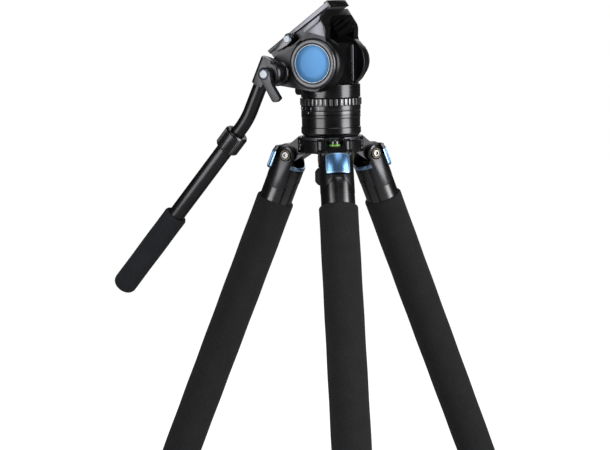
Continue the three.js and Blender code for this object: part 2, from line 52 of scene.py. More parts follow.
# Driving dimensions, in millimetres, and turns in degrees.
HINGE_REACH = 43.2  # pan axis to a leg's hinge
TUBE_RADII = (16.2, 14.0, 12.0)
TUBE_WALL = 1.5
YOKE_RADIUS = 16.9
FOAM_RADIUS = 19.2
FOAM_SPAN = (-394.8, -49.6)  # below the leg's hinge
FLANK_TURN = 50.2  # slope of an arm's flank
ARM_RADIUS = 28.5  # where the flank screws sit
SPLAY = 23.2  # leg from vertical at rest
ARM_AZIMUTHS = (-90, 30, 150)
FOOT_BALL = (-603.4, 14.5)  # centre below the leg's hinge, and radius
LEVEL_Y = -35  # bubble level, in front of the pan axis
BASE_RADIUS = 29.5
INDEX_AZIMUTH = -144  # white dot under the drag dial
DIAL_TEETH = 38
PAN_LOCK_HEIGHT = 64.2
TILT_HEIGHT = 92.3  # tilt axis above the leg hinges
CHEEK_INNER = 24.3
CHEEK_OUTER = 38
WALL_TOP = 29.7
AXLE_BORE = 6.3
ROSETTE = (-37.0, 14.5)  # centre in the tilt frame's XZ
PLATE_ENDS = (-41.5, 39.5)
SCREW_X = -8
CLAMP_PIVOT = (-10.5, 0, 36.2)  # plate's lever, in the tilt frame
BUTTON_PLACE = (18, 0, 35.6)
BAR_SIDE = 51.6  # bar's middle plane to the side of the head
BAR_BEND = (-66.7, -54.8)
BAR_LEAN = (24.4, 40.6)  # upper and lower stretch, from vertical
BAR_UPPER = 57.6  # length of the upper stretch
BAR_RADIUS = 7.05

CAMERA_PLACE = (-0.0276, -2.039, 0.1747)  # metres, from the level of the hinges
CAMERA_TURN = -4.65
CAMERA_PITCH = 6.84
CAMERA_ROLL = -0.95
CAMERA_LENS = 121.16


# ---- frames: matrices from local millimetres to the row frame ----
def basis(origin, x_axis, z_axis):
    """Matrix of a frame at origin (metres) with these directions, scaled from millimetres."""
    z = Vector(z_axis).normalized()
    x = Vector(x_axis).normalized()
    y = z.cross(x).normalized()
    x = y.cross(z)
    facing = Matrix((x, y, z)).transposed().to_4x4()
    return Matrix.Translation(Vector(origin)) @ facing @ Matrix.Scale(MM, 4)


up = Vector((0, 0, 1))
hinge = Vector(JOINTS["front_leg_splay"]["pos_m"])
axis_point = Vector(JOINTS["head_pan"]["pos_m"])
base_origin = Vector((axis_point.x, axis_point.y, hinge.z))
BASE = basis(base_origin, (1, 0, 0), up)
forward = -Vector(JOINTS["pan_lock_turn"]["axis"])
tilt_origin = Vector(JOINTS["head_tilt"]["pos_m"])
PAN = basis(base_origin, forward, up)
plate_axis = Vector(JOINTS["plate_slide"]["axis"])
plate_up = Vector(JOINTS["camera_screw_turn"]["axis"])
TILT = basis(tilt_origin, plate_axis, plate_up)
UPRIGHT = basis(tilt_origin, forward, up)


def leg_frame(name):
    down = Vector(JOINTS[f"{name}_middle_slide"]["axis"])
    outward = Vector(JOINTS[f"{name}_tab_pull"]["axis"])
    return basis(JOINTS[f"{name}_leg_splay"]["pos_m"], outward, -down)


# ---- camera ----
def make_camera():
    """Camera in front of the tripod, a little above the hinges and turned a little left."""
    facing = Matrix.Rotation(math.radians(CAMERA_TURN), 3, "Z")
    pitch, roll = math.radians(CAMERA_PITCH), math.radians(CAMERA_ROLL)
    look = Vector((0, math.cos(pitch), -math.sin(pitch)))
    rise = Vector((0, math.sin(pitch), math.cos(pitch)))
    right = Vector((1, 0, 0))
    x = math.cos(roll) * right + math.sin(roll) * rise
    y = -math.sin(roll) * right + math.cos(roll) * rise
    data = bpy.data.cameras.new("camera")
    data.sensor_width = 36
    data.lens = CAMERA_LENS
    data.clip_end = 100
    camera = bpy.data.objects.new("camera", data)
    place = facing @ Vector(CAMERA_PLACE) + base_origin
    axes = Matrix((facing @ x, facing @ y, facing @ -look)).transposed().to_4x4()
    camera.matrix_world = Matrix.Translation(place) @ axes
    bpy.context.scene.collection.objects.link(camera)
    bpy.context.scene.camera = camera
    return place


# ---- materials ----
def new_material(name):
    material = bpy.data.materials.new(name)
    material.use_nodes = True
    nodes = material.node_tree.nodes
    return material, nodes, material.node_tree.links, nodes["Principled BSDF"]


def noise(nodes, links, scale, detail=4, stretch=None):
    """Noise over the object, scale in features per metre; stretch squeezes it along one axis."""
    coords = nodes.new("ShaderNodeTexCoord")
    texture = nodes.new("ShaderNodeTexNoise")
    texture.inputs["Scale"].default_value = scale
    texture.inputs["Detail"].default_value = detail
    if stretch:
        mapping = nodes.new("ShaderNodeMapping")
        mapping.inputs["Scale"].default_value = stretch
        links.new(coords.outputs["Object"], mapping.inputs["Vector"])
        links.new(mapping.outputs["Vector"], texture.inputs["Vector"])
    else:
        links.new(coords.outputs["Object"], texture.inputs["Vector"])
    return texture.outputs["Fac"]


def ramp(nodes, links, source, stops):
    made = nodes.new("ShaderNodeValToRGB")
    elements = made.color_ramp.elements
    for element, (place, colour) in zip(elements, stops):
        element.position = place
        element.color = (*colour, 1)
    for place, colour in stops[2:]:
        elements.new(place).color = (*colour, 1)
    links.new(source, made.inputs["Fac"])
    return made.outputs["Color"]


def spread(nodes, links, source, low, high):
    made = nodes.new("ShaderNodeMapRange")
    made.inputs["To Min"].default_value = low
    made.inputs["To Max"].default_value = high
    links.new(source, made.inputs["Value"])
    return made.outputs["Result"]


def bump(nodes, links, source, shader, strength, distance):
    made = nodes.new("ShaderNodeBump")
    made.inputs["Strength"].default_value = strength
    made.inputs["Distance"].default_value = distance
    links.new(source, made.inputs["Height"])
    links.new(made.outputs["Normal"], shader.inputs["Normal"])


def anodised(name, dark, light, roughness, metallic, grain=2600, depth=0.03):
    """Bead-blasted and anodised metal: fine grain, slow colour drift, and worn bright edges."""
    material, nodes, links, shader = new_material(name)
    drift = noise(nodes, links, 45, 3)
    fine = noise(nodes, links, grain, 2)
    edges = nodes.new("ShaderNodeNewGeometry").outputs["Pointiness"]
    worn = ramp(nodes, links, edges, [(0.52, (0, 0, 0)), (0.62, (1, 1, 1))])
    base = ramp(nodes, links, drift, [(0.3, dark), (0.7, light)])
    mix = nodes.new("ShaderNodeMix")
    mix.data_type = "RGBA"
    mix.inputs[7].default_value = (*[min(1, 2.2 * c + 0.02) for c in light], 1)
    amount = spread(nodes, links, worn, 0, 0.35)
    links.new(amount, mix.inputs[0])
    links.new(base, mix.inputs[6])
    links.new(mix.outputs[2], shader.inputs["Base Color"])
    shader.inputs["Metallic"].default_value = metallic
    links.new(
        spread(nodes, links, drift, roughness - 0.04, roughness + 0.05), shader.inputs["Roughness"]
    )
    bump(nodes, links, fine, shader, 0.25, depth * MM)
    return material


def foam(name, dark, light, scale=1500, depth=0.25):
    """Closed-cell foam: open pores, pale specks and a soft sheen."""
    material, nodes, links, shader = new_material(name)
    grain = noise(nodes, links, scale, 6)
    patches = noise(nodes, links, 60, 3)
    cells = nodes.new("ShaderNodeTexVoronoi")
    cells.inputs["Scale"].default_value = scale * 0.9
    coords = nodes.new("ShaderNodeTexCoord")
    links.new(coords.outputs["Object"], cells.inputs["Vector"])
    mix = nodes.new("ShaderNodeMix")
    mix.data_type = "RGBA"
    mix.blend_type = "MULTIPLY"
    mix.inputs[0].default_value = 0.6
    links.new(ramp(nodes, links, grain, [(0.35, dark), (0.72, light)]), mix.inputs[6])
    links.new(ramp(nodes, links, patches, [(0.3, (0.75,) * 3), (0.7, (1.15,) * 3)]), mix.inputs[7])
    links.new(mix.outputs[2], shader.inputs["Base Color"])
    links.new(spread(nodes, links, grain, 0.82, 0.98), shader.inputs["Roughness"])
    shader.inputs["Sheen Weight"].default_value = 0.05
    shader.inputs["Specular IOR Level"].default_value = 0.3
    bump(nodes, links, cells.outputs["Distance"], shader, 0.6, depth * MM)
    return material


def turned_steel(name, dark, light, roughness=0.3):
    material, nodes, links, shader = new_material(name)
    lines = noise(nodes, links, 900, 3, (1, 1, 6))
    links.new(ramp(nodes, links, lines, [(0.3, dark), (0.7, light)]), shader.inputs["Base Color"])
    links.new(
        spread(nodes, links, lines, roughness - 0.06, roughness + 0.1), shader.inputs["Roughness"]
    )
    shader.inputs["Metallic"].default_value = 1
    bump(nodes, links, lines, shader, 0.2, 0.02 * MM)
    return material


def rubber(name, dark, light, roughness=0.75, scale=1800):
    material, nodes, links, shader = new_material(name)
    grain = noise(nodes, links, scale, 5)
    links.new(ramp(nodes, links, grain, [(0.3, dark), (0.7, light)]), shader.inputs["Base Color"])
    links.new(
        spread(nodes, links, grain, roughness - 0.08, roughness + 0.08), shader.inputs["Roughness"]
    )
    bump(nodes, links, grain, shader, 0.4, 0.08 * MM)
    return material


def fluid():
    material, nodes, links, shader = new_material("level_fluid")
    swirl = noise(nodes, links, 300, 2)
    colours = ramp(nodes, links, swirl, [(0.3, (0.16, 0.5, 0.04)), (0.7, (0.3, 0.75, 0.08))])
    links.new(colours, shader.inputs["Base Color"])
    shader.inputs["Roughness"].default_value = 0.12
    shader.inputs["Coat Weight"].default_value = 0.6
    return material


def tinted():
    """Glossy dark cap of the bubble level."""
    material, nodes, links, shader = new_material("level_cap")
    haze = noise(nodes, links, 400, 2)
    links.new(spread(nodes, links, haze, 0.06, 0.14), shader.inputs["Roughness"])
    colours = ramp(nodes, links, haze, [(0.3, (0.012, 0.016, 0.012)), (0.7, (0.02, 0.03, 0.02))])
    links.new(colours, shader.inputs["Base Color"])
    shader.inputs["Coat Weight"].default_value = 1.0
    return material


BLACK = anodised("black_anodised", (0.062, 0.061, 0.064), (0.082, 0.081, 0.085), 0.21, 0.95)
SATIN = anodised("black_satin", (0.042, 0.042, 0.045), (0.06, 0.06, 0.064), 0.28, 0.92)
CAST = anodised("black_casting", (0.026, 0.026, 0.028), (0.04, 0.04, 0.043), 0.3, 0.92)
# Lighter grey on the dial teeth is painted highlight: it stands for light caught on their flat
# tops.
TEETH_PAINTED_HIGHLIGHT = anodised("dial_teeth", (0.16, 0.16, 0.165), (0.22, 0.22, 0.225), 0.3, 0.9)
RING = anodised("ring_satin", (0.10, 0.10, 0.107), (0.135, 0.135, 0.142), 0.34, 0.9)
GREY = anodised("grey_anodised", (0.11, 0.11, 0.12), (0.15, 0.15, 0.165), 0.36, 0.9)
# Pale grey plate and panels; on the tower's corner strip this colour is a painted highlight.
PALE = anodised("pale_panel", (0.16, 0.16, 0.18), (0.21, 0.21, 0.235), 0.4, 0.9)
BLUE = anodised("blue_anodised", (0.10, 0.24, 0.50), (0.16, 0.34, 0.62), 0.24, 0.85, depth=0.01)
PALE_BLUE = anodised("tab_border", (0.22, 0.38, 0.62), (0.32, 0.5, 0.75), 0.3, 0.9, depth=0.01)
SKY = anodised(
    "sky_disc", (0.07, 0.24, 0.52), (0.095, 0.29, 0.58), 0.4, 0.4, grain=1500, depth=0.04
)
FOAM = foam("leg_foam", (0.007, 0.007, 0.008), (0.025, 0.025, 0.027))
GRIP = foam("grip_foam", (0.008, 0.009, 0.011), (0.027, 0.030, 0.036), 1900, 0.2)
STEEL = turned_steel("screw_steel", (0.26, 0.25, 0.24), (0.45, 0.44, 0.42), 0.36)
BRASSY = turned_steel("washer_metal", (0.05, 0.045, 0.035), (0.16, 0.14, 0.11), 0.4)
RIM = turned_steel("bright_rim", (0.35, 0.42, 0.5), (0.55, 0.62, 0.7), 0.3)
RUBBER = rubber("rubber", (0.008, 0.008, 0.008), (0.022, 0.022, 0.022))
# Near-black painted shade for the faces inside the cradle's mouth.
PAINTED_SHADE = rubber("painted_recess_shade", (0.002, 0.002, 0.002), (0.005, 0.005, 0.005), 0.6)
WHITE = rubber("white_dot", (0.72, 0.80, 0.88), (0.9, 0.95, 1.0), 0.4, 300)
FLUID = fluid()
DOME = tinted()


# ---- mesh helpers ----
def soften(points, radius, closed=False, steps=4):
    """Rounds an outline: each corner becomes a short curve that starts radius away from it."""
    made = []
    count = len(points)
    for i, point in enumerate(points):
        here = Vector(point)
        ends = not closed and i in (0, count - 1)
        before, after = Vector(points[i - 1]), Vector(points[(i + 1) % count])
        reach = min(radius, 0.45 * (before - here).length, 0.45 * (after - here).length)
        if ends or reach < 1e-4:
            made.append(tuple(here))
            continue
        start = here + (before - here).normalized() * reach
        end = here + (after - here).normalized() * reach
        for k in range(steps + 1):
            t = k / steps
            made.append(tuple((1 - t) ** 2 * start + 2 * t * (1 - t) * here + t * t * end))
    return made


def arc(x, y, radius, start, stop, steps=16):
    angles = [math.radians(start + (stop - start) * i / steps) for i in range(steps + 1)]
    return [(x + radius * math.cos(a), y + radius * math.sin(a)) for a in angles]


def to_object(name, bm):
    bmesh.ops.remove_doubles(bm, verts=bm.verts, dist=1e-4)
    bmesh.ops.dissolve_degenerate(bm, edges=bm.edges, dist=1e-5)
    bmesh.ops.recalc_face_normals(bm, faces=bm.faces)
    mesh = bpy.data.meshes.new(name)
    bm.to_mesh(mesh)
    bm.free()
    made = bpy.data.objects.new(name, mesh)
    bpy.context.scene.collection.objects.link(made)
    return made


def lathe(profile, segments=72, ribs=None, start=0, stop=360):
    """Turned shape about local Z from (radius, z) points; ribs may change each radius."""
    bm = bmesh.new()
    full = stop - start >= 360
    columns = segments if full else segments + 1
    rows = []
    for i in range(columns):
        angle = math.radians(start + (stop - start) * i / segments)
        row = []
        for r, z in profile:
            reach = ribs(angle, r, z) if ribs else r
            row.append(bm.verts.new((reach * math.cos(angle), reach * math.sin(angle), z)))
        rows.append(row)
    for i in range(segments):
        a, b = rows[i], rows[(i + 1) % columns]
        for k in range(len(profile) - 1):
            bm.faces.new((a[k], b[k], b[k + 1], a[k + 1]))
    if not full:
        for end in (rows[0], rows[-1]):
            bm.faces.new(end[:-1] if profile[0] == profile[-1] else end)
    return to_object("turned", bm)


def prism(points, low, high):
    """Outline in local XY, from low to high along Z."""
    bm = bmesh.new()
    bottom = [bm.verts.new((x, y, low)) for x, y in points]
    top = [bm.verts.new((x, y, high)) for x, y in points]
    bm.faces.new(bottom)
    bm.faces.new(top)
    for i in range(len(points)):
        k = (i + 1) % len(points)
        bm.faces.new((bottom[i], bottom[k], top[k], top[i]))
    return to_object("prism", bm)


def turn(made, degrees, axis, offset=(0, 0, 0)):
    spin = Matrix.Rotation(math.radians(degrees), 4, axis)
    made.data.transform(Matrix.Translation(offset) @ spin)
    return made


def shift(made, x, y, z):
    made.data.transform(Matrix.Translation((x, y, z)))
    return made


def side_prism(points, y0, y1):
    """Outline in local XZ, from y0 to y1."""
    return turn(prism(points, -y1, -y0), 90, "X")


def side_slab(points, side, inner, outer):
    """Outline in local XZ, between two distances from the middle, on one side."""
    return side_prism(points, *sorted((side * inner, side * outer)))


def side_lathe(profile, side=1, **options):
    """Turned about local Y: side 1 points its z levels along +Y, side -1 along -Y."""
    return turn(lathe(profile, **options), -90 * side, "X")


def block(x0, x1, y0, y1, z0, z1):
    return prism([(x0, y0), (x1, y0), (x1, y1), (x0, y1)], z0, z1)


def settle(made):
    """Applies the object's modifiers to its mesh."""
    graph = bpy.context.evaluated_depsgraph_get()
    mesh = bpy.data.meshes.new_from_object(made.evaluated_get(graph))
    made.modifiers.clear()
    made.data = mesh
    return made


def combine(made, tool, operation):
    modifier = made.modifiers.new("boolean", "BOOLEAN")
    modifier.operation = operation
    modifier.object = tool
    modifier.solver = "EXACT"
    settle(made)
    bpy.data.objects.remove(tool)
    return made


def cut(made, *tools):
    for tool in tools:
        combine(made, tool, "DIFFERENCE")
    return made


def join(made, *tools):
    for tool in tools:
        combine(made, tool, "UNION")
    return made


def common(made, *tools):
    for tool in tools:
        combine(made, tool, "INTERSECT")
    return made


def bevel(made, width, segments=2, angle=32):
    bm = bmesh.new()
    bm.from_mesh(made.data)
    bmesh.ops.remove_doubles(bm, verts=bm.verts, dist=MERGE)
    bmesh.ops.dissolve_limit(bm, angle_limit=math.radians(0.4), verts=bm.verts, edges=bm.edges)
    bm.to_mesh(made.data)
    bm.free()
    modifier = made.modifiers.new("bevel", "BEVEL")
    modifier.width = width
    modifier.segments = segments
    modifier.limit_method = "ANGLE"
    modifier.angle_limit = math.radians(angle)
    modifier.use_clamp_overlap = True
    modifier.harden_normals = False
    return settle(made)


def clean(made):
    """Merges the corners of a bevel that had no room."""
    bm = bmesh.new()
    bm.from_mesh(made.data)
    bmesh.ops.remove_doubles(bm, verts=bm.verts, dist=MERGE)
    bmesh.ops.dissolve_degenerate(bm, dist=MERGE, edges=bm.edges)
    bm.to_mesh(made.data)
    bm.free()
    return made


def finish_piece(made, name, place, material, body, node=None, sharp=32):
    """Names a shape, puts it in the row frame, smooths it and ties it to its body."""
    made.name = name
    made.data.name = name
    made.data.transform(place)
    made.data.materials.clear()
    made.data.materials.append(material)
    for face in made.data.polygons:
        face.use_smooth = True
        face.material_index = 0
    made.data.set_sharp_from_angle(angle=math.radians(sharp))
    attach(made, body)
    if node:
        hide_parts(node)
    return made


def shade_inside(made, place, material, inside):
    """Gives material to the faces whose centre, in local millimetres, passes the test inside."""
    made.data.materials.append(material)
    back = place.inverted()
    for face in made.data.polygons:
        if inside(back @ face.center):
            face.material_index = 1


def ribbed(count, depth, low, high, duty=0.5):
    """Radius function with count ribs between two heights; grooves are depth deep."""
    edge = 0.08  # share of a rib taken by each slope

    def radius(angle, r, z):
        if not low <= z <= high:
            return r
        phase = (angle * count / (2 * math.pi)) % 1
        ramped = min(1, max(0, (abs(phase - 0.5) - duty / 2) / edge))
        return r - depth * ramped
    return radius


def rod(radius, low, high):
    """Profile of a solid round bar."""
    return [(0, low), (radius, low), (radius, high), (0, high)]


def beyond(ribs, limit):
    """Keeps ribs to the points whose radius is over the limit."""
    return lambda angle, r, z: ribs(angle, r, z) if r > limit else r


# ---- legs ----
def yoke():
    lower = [(x * 1.09, z) for x, z in arc(0, -20, 15.5, 200, 340, 18)]
    crown = arc(0, 0, 8.7, -25, 205, 24)
    sides = side_prism([*crown, (-YOKE_RADIUS, -13), *lower, (YOKE_RADIUS, -13)], -20, 20)
    body = common(lathe(rod(YOKE_RADIUS, -40, 10), 96), sides)
    slot = block(-20, 20, -10.7, 10.7, -12.4, 12)
    pocket = block(13.4, 20, -12.3, 12.3, -20.9, 12)
    seat = rod(6.3, 15.1, 20)
    seats = [side_lathe(seat, side, segments=48) for side in (1, -1)]
    bore = side_lathe(rod(3.2, -20, 20), segments=32)
    core = lathe(rod(16.25, -41, -26), 96)
    cut(body, slot, pocket, *seats, bore, core)
    return bevel(body, 0.55, 3)


def shoulder():
    """Domed collar between the flanks of the yoke and the foam."""
    profile = soften(
        [(14.9, -21.2), (15.6, -21.9), (16.45, -24.5), (16.65, -28), (16.65, -49.2)], 1.6
    )
    return lathe([*profile, (16.22, -49.2), (16.22, -32), (14.9, -21.2)], 96)


def trim_ring():
    section = soften([(15.6, -12.1), (17.2, -12.1), (17.2, -8.2), (15.6, -8.2)], 0.4, True, 2)
    return lathe([*section, section[0]], 60, start=122, stop=238)


def angle_tab():
    """Black body of the thumb tab, with a nose towards the stop teeth."""
    back = soften(
        [
            (13.9, -20.3), (17.6, -20.2), (19, -13), (19.2, -6), (18.1, 0), (15, 4.4), (11.9, 4.2),
            (12.6, 0),
        ],
        1.2,
    )
    body = side_prism([*back, (13.9, -2)], -11.8, 11.8)
    body = common(body, lathe(rod(19.4, -30, 10), 96))
    return bevel(body, 0.5, 3)


def tab_plate(inset, low, high):
    """Curved plate with rounded corners over the tab's outer face."""
    half = 11.8 - inset
    face = soften(
        [
            (-half, -20.3 + inset), (half, -20.3 + inset), (half, -0.8 - inset),
            (-half, -0.8 - inset),
        ],
        2.6, True, 6,
    )
    shell = lathe(
        [(low, -30), (high, -30), (high, 10), (low, 10), (low, -30)], 96, start=-60, stop=60
    )
    return bevel(common(across(face, 8, 30), shell), 0.35, 3)


def pin_washer(side):
    profile = soften(
        [(3.9, 15.3), (5.9, 15.3), (5.9, 16.7), (5.2, 17.15), (3.9, 17.15)], 0.25, True, 2
    )
    ribs = ribbed(36, 0.35, 15, 18)
    return side_lathe([*profile, profile[0]], side, segments=216, ribs=beyond(ribs, 5))


def pin_head(side):
    profile = soften([(0, 15.3), (3.8, 15.3), (3.8, 17.1), (3.2, 17.5), (0, 17.5)], 0.3)
    head = side_lathe(profile, side, segments=48)
    socket = prism(arc(0, 0, 1.9, 0, 300, 5), 15.8, 18)
    return cut(head, turn(socket, -90 * side, "X"))


def lock(top, bottom, radius, throat, bore):
    grip = ribbed(24, 1.1, bottom + 6, top - 5, 0.62)
    side = soften(
        [
            (bore, bottom), (radius - 2.4, bottom), (radius - 0.1, bottom + 3.5),
            (radius - 0.1, bottom + 5.5),
        ],
        1,
    )
    mid = [(radius - 0.1, z) for z in (bottom + 6.2, (top + bottom) / 2, top - 5.2, top - 4.6)]
    end = soften([(radius - 0.1, top - 2.5), (radius - 1.4, top - 0.1), (throat, top - 0.1)], 0.8)
    hollow = [(throat, top - 5.6), (bore, top - 5.6), (bore, bottom)]
    return lathe([*side, *mid, *end, *hollow], 192, ribs=beyond(grip, radius - 1))


def foot():
    centre, radius = FOOT_BALL
    bulb = arc(0, centre, radius, -63, 0, 12)
    rings = [
        (14.5, -600), (14.5, -598), (13.7, -597.4), (13.7, -596), (14.5, -595.4), (14.5, -592.5)
    ]
    profile = [
        (0, bulb[0][1]), *bulb, *rings, (13.4, -588.2), (12.4, -588.1), (12.4, -600), (0, -600)
    ]
    body = lathe(profile, 72)
    level = turn(block(-60, 60, -60, 60, -100, 0), SPLAY, "Y")
    depth = 13.0  # from the middle of the ball down to the ground
    lean = math.radians(SPLAY)
    shift(level, -depth * math.sin(lean), 0, centre - depth * math.cos(lean))
    return cut(body, level)


def tube(radius, low, high):
    inner = radius - TUBE_WALL
    section = soften([(inner, low), (radius, low), (radius, high), (inner, high)], 0.3, True, 2)
    return lathe([*section, section[0]], 96)


def foam_sleeve():
    low, high = FOAM_SPAN
    levels = [low + (high - low) * i / 60 for i in range(61)]
    outer = [(FOAM_RADIUS - 0.12 + 0.1 * math.sin(z * 0.11), z) for z in levels[1:-1]]
    edge_low = soften([(16.4, low), (18.2, low), (19.1, low + 1.4)], 0.8)
    edge_high = soften([(19.1, high - 1.2), (18.4, high), (16.4, high)], 0.8)
    return lathe([*edge_low, *outer, *edge_high, (16.4, low)], 96)


def make_leg(name):
    place = leg_frame(name)
    leg, tab = f"{name}_leg", f"{name}_tab"
    finish_piece(yoke(), f"{name}_yoke_casting", place, SATIN, leg, f"{name}_yoke")
    finish_piece(shoulder(), f"{name}_shoulder", place, BLACK, leg)
    finish_piece(trim_ring(), f"{name}_trim_ring", place, PALE_BLUE, leg)
    finish_piece(
        angle_tab(), f"{name}_tab_body", place, SATIN, tab, f"{name}_angle_tab"
    )
    finish_piece(tab_plate(0, 17.2, 20.0), f"{name}_thumb_tab", place, PALE_BLUE, tab)
    finish_piece(tab_plate(1.3, 19.0, 20.3), f"{name}_tab_face", place, BLUE, tab)
    for side, word in ((1, "a"), (-1, "b")):
        node = f"{name}_hinge_pin" if side > 0 else None
        finish_piece(pin_head(side), f"{name}_pin_head_{word}", place, STEEL, leg, node)
        finish_piece(pin_washer(side), f"{name}_pin_washer_{word}", place, BRASSY, leg)
    stretches = (
        (leg, "upper", -505, -24), (f"{name}_middle", "middle", -548, -62),
        (f"{name}_lower", "lower", -600, -66),
    )
    for radius, (body, word, low, high) in zip(TUBE_RADII, stretches):
        finish_piece(
            tube(radius, low, high), f"{name}_{word}_tube", place, BLACK, body,
            f"{name}_tube_{word}",
        )
    sleeve = finish_piece(
        foam_sleeve(), f"{name}_foam_sleeve", place, FOAM, leg, f"{name}_foam"
    )
    locks = (("upper", -500, -542, 20, 16.6, 14.4), ("lower", -544, -584, 18.5, 14.4, 12.4))
    for word, *sizes in locks:
        body = f"{name}_lock_{word}"
        twist = lock(*sizes)
        finish_piece(twist, f"{name}_twist_{word}", place, RUBBER, body, body)
    finish_piece(
        foot(), f"{name}_rubber_foot", place, RUBBER, f"{name}_lower", f"{name}_foot"
    )


# ---- spider and what stands on it ----
def flank_shift(side):
    """Moves a part drawn on the +X axis to the middle of an arm's sloping flank."""
    angle = math.radians(side * FLANK_TURN)
    x = ARM_RADIUS - ARM_RADIUS * math.cos(angle)
    return x, side * 13.25 - ARM_RADIUS * math.sin(angle), 0


def spider_casting():
    rim = soften(
        [(0, -12.3), (13.4, -12.3), (13.5, 2.9), (27.6, 2.9), (29.4, 4.6), (29.4, 15.8), (0, 15.8)],
        0.8,
    )
    body = lathe(rim, 120)
    for azimuth in ARM_AZIMUTHS:
        lug = arc(HINGE_REACH, 0, 9.3, -115, 20, 20)
        teeth = arc(HINGE_REACH, 0, 10.7, 22, 50, 6) + arc(HINGE_REACH, 0, 12.0, 52, 76, 6)
        top = [(HINGE_REACH - 2, 11), (HINGE_REACH - 12.8, 19.4), (14, 19.4), (14, 2.9), (21, 2.9)]
        arm = side_prism(lug + teeth + top, -10.3, 10.3)
        flare = soften(
            [(10, -17), (24, -17), (33, -9.5), (33, 9.5), (24, 17), (10, 17)], 2.2, True, 6
        )
        root = prism(flare, 2.9, 18)
        for side in (-1, 1):
            pocket = turn(block(26.9, 40, -3.6, 3.6, 5.4, 15.2), side * FLANK_TURN, "Z")
            cut(root, shift(pocket, *flank_shift(side)))
        join(arm, root)
        bore = side_lathe(rod(3.3, -20, 20), segments=32)
        cut(arm, shift(bore, HINGE_REACH, 0, 0))
        join(body, turn(arm, azimuth, "Z"))
    recess = lathe(rod(29.2, 15.7, 30), 120)
    cup = shift(lathe(rod(8.4, 5.6, 30), 64), 0, LEVEL_Y, 0)
    hole = lathe(rod(5.3, -20, 30), 48)
    cut(body, recess, cup, hole)
    return bevel(body, 0.5, 3)


def arm_screw(azimuth, side):
    profile = soften(rod(2.6, 0, 2.0), 0.3)
    screw = cut(lathe(profile, 40), prism(arc(0, 0, 1.3, 0, 300, 5), 1, 3))
    turn(screw, 90, "Y", (26.8, 0, 10.2))
    turn(screw, side * FLANK_TURN, "Z", flank_shift(side))
    return turn(screw, azimuth, "Z")


def make_spider():
    finish_piece(spider_casting(), "spider_casting", BASE, SATIN, "spider", "spider")
    for i, azimuth in enumerate(ARM_AZIMUTHS[1:]):
        for side, word in ((-1, "a"), (1, "b")):
            finish_piece(
                arm_screw(azimuth, side), f"arm_screw_{i}_{word}", BASE, STEEL, "spider"
            )
    disc = lathe(
        soften(
            [(5.4, 16.1), (28.5, 16.1), (28.5, 18.8), (27.9, 19.3), (5.4, 19.3), (5.4, 16.1)], 0.2
        ),
        120,
    )
    finish_piece(disc, "platform_disc", BASE, GREY, "spider", "platform_plate")
    bolt = [(4.8, -13), (4.8, 25), (3.8, 26), (0, 26)]
    rim = soften(
        [(0, -30), (13.8, -30), (16.8, -26.5), (16.8, -16.5), (14.4, -13.2), (4.8, -13)], 1
    )
    ribs = ribbed(28, 0.8, -25, -18)
    knob = lathe([*rim, *bolt[1:]], 168, ribs=ribs)
    finish_piece(
        knob, "platform_wheel", BASE, RUBBER, "platform_knob", "platform_knob"
    )
    finish_piece(hook_wire(), "hook_wire", BASE, STEEL, "platform_knob", "weight_hook")
    cup = lathe(
        soften(
            [(0, 6.1), (7.9, 6.1), (7.9, 11.4), (7.3, 11.9), (6.2, 11.9), (6.2, 9.6), (0, 9.6)], 0.3
        ),
        72,
    )
    level = Matrix.Translation((0, LEVEL_Y, 0))
    finish_piece(cup, "level_housing", BASE @ level, BLACK, "spider", "level_cup")
    liquid = lathe([(0, 9.8), (5.6, 9.8), (5.6, 12.8), (5.2, 13.2), (0, 13.2)], 48)
    finish_piece(liquid, "level_liquid", BASE @ level, FLUID, "spider")
    dome = lathe(
        [(0, 13.1), (4.9, 13.1), (4.9, 15.6), (4.5, 17.2), (3.3, 18.4), (1.6, 18.9), (0, 19.0)], 48
    )
    finish_piece(dome, "level_dome", BASE @ level, DOME, "spider", "level_vial")


def sweep(points, radius, sides=20):
    """Round bar along a list of 3-D points, with flat ends."""
    path = [Vector(p) for p in points]
    bm = bmesh.new()
    rings = []
    sideways = Vector((0, 1, 0))
    angles = [math.tau * k / sides for k in range(sides)]
    for i, here in enumerate(path):
        along = (path[min(i + 1, len(path) - 1)] - path[max(i - 1, 0)]).normalized()
        other = along.cross(sideways).normalized()
        spokes = [math.cos(a) * sideways + math.sin(a) * other for a in angles]
        rings.append([bm.verts.new(here + radius * spoke) for spoke in spokes])
    for low, high in zip(rings, rings[1:]):
        for k in range(sides):
            n = (k + 1) % sides
            bm.faces.new((low[k], low[n], high[n], high[k]))
    bm.faces.new(rings[0])
    bm.faces.new(rings[-1])
    return to_object("sweep", bm)


def quadratic(a, b, c, steps):
    points = [Vector(p) for p in (a, b, c)]
    made = []
    for i in range(1, steps + 1):
        t = i / steps
        made.append((1 - t) ** 2 * points[0] + 2 * t * (1 - t) * points[1] + t * t * points[2])
    return made


def hook_wire():
    path = [Vector((0, 0, -30.1)), Vector((0, 0, -34)), Vector((0, 0, -37))]
    path += quadratic((0, 0, -37), (-11, 0, -40), (-9, 0, -49), 12)
    path += quadratic((-9, 0, -49), (0, 0, -61), (9, 0, -49), 16)
    return sweep(path, 1.9)


# ---- fixed base, drag ring and pan drum ----
def digit(word, azimuth, radius, height, size):
    """A numeral or mark wrapped round the ring as thin raised paint."""
    curve = bpy.data.curves.new("digit", "FONT")
    curve.body = word
    curve.size = size
    curve.align_x = "CENTER"
    curve.extrude = 0.08
    made = bpy.data.objects.new("digit", curve)
    bpy.context.scene.collection.objects.link(made)
    graph = bpy.context.evaluated_depsgraph_get()
    mesh = bpy.data.meshes.new_from_object(made.evaluated_get(graph))
    bpy.data.objects.remove(made)
    for v in mesh.vertices:
        angle = math.radians(azimuth) + v.co.x / radius
        reach = radius + v.co.z
        v.co = Vector((reach * math.cos(angle), reach * math.sin(angle), height + v.co.y))
    marked = bpy.data.objects.new("digit", mesh)
    bpy.context.scene.collection.objects.link(marked)
    return marked


